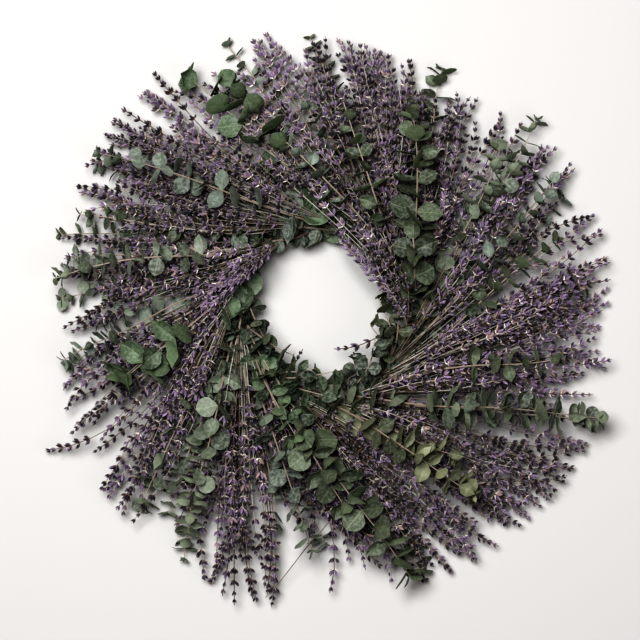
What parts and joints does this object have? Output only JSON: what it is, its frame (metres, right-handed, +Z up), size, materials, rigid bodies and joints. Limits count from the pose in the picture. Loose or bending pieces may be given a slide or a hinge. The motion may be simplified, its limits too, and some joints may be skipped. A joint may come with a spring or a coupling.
{
  "type": "lavender and eucalyptus wreath",
  "caption": "Dried wreath laid flat: lavender bunches and eucalyptus sprays bound to a crimped wire ring, all sweeping one way round an open middle.",
  "frame": {"origin": "centre of the wreath's box on the surface it lies on", "axes": "+Z up from the surface, +Y toward the top of the picture, the stems sweep anticlockwise seen from above"},
  "size_m": [0.5652, 0.5982, 0.0756],
  "materials": {
    "lavender": "dry, matte flower buds on straw-brown stems",
    "eucalyptus_deep": "dark green leaf, matte with a faint wax bloom",
    "eucalyptus_blue": "blue-grey leaf, waxy bloom",
    "eucalyptus_bright": "bright green leaf, slight sheen",
    "eucalyptus_grey": "grey-green leaf, matte",
    "eucalyptus_pale": "pale yellow-green leaf, matte",
    "ring_wire": "dark green coated steel wire",
    "binding_wire": "green florist's wire"
  },
  "bodies": {
    "root": {"ring": "ring_wire", "binding_wire": "binding_wire", "lavender_01": "lavender", "lavender_02": "lavender", "lavender_03": "lavender", "lavender_04": "lavender", "lavender_05": "lavender", "lavender_06": "lavender", "lavender_07": "lavender", "lavender_08": "lavender", "lavender_09": "lavender", "lavender_10": "lavender", "lavender_11": "lavender", "lavender_12": "lavender", "lavender_13": "lavender", "lavender_14": "lavender", "lavender_15": "lavender", "lavender_16": "lavender", "lavender_17": "lavender", "eucalyptus_01": "eucalyptus_deep", "eucalyptus_02": "eucalyptus_deep", "eucalyptus_03": "eucalyptus_blue", "eucalyptus_04": "eucalyptus_bright", "eucalyptus_05": "eucalyptus_blue", "eucalyptus_06": "eucalyptus_deep", "eucalyptus_07": "eucalyptus_grey", "eucalyptus_08": "eucalyptus_blue", "eucalyptus_09": "eucalyptus_bright", "eucalyptus_10": "eucalyptus_grey", "eucalyptus_11": "eucalyptus_grey", "eucalyptus_12": "eucalyptus_blue", "eucalyptus_13": "eucalyptus_bright", "eucalyptus_14": "eucalyptus_deep", "eucalyptus_15": "eucalyptus_pale", "eucalyptus_16": "eucalyptus_grey", "eucalyptus_17": "eucalyptus_deep", "eucalyptus_18": "eucalyptus_blue", "eucalyptus_19": "eucalyptus_grey", "collar_01": "eucalyptus_grey", "collar_02": "eucalyptus_bright", "collar_03": "eucalyptus_grey", "collar_04": "eucalyptus_blue", "collar_05": "eucalyptus_grey", "collar_06": "eucalyptus_deep", "collar_07": "eucalyptus_bright", "collar_08": "eucalyptus_grey", "collar_09": "eucalyptus_pale"}
  },
  "joints": []
}
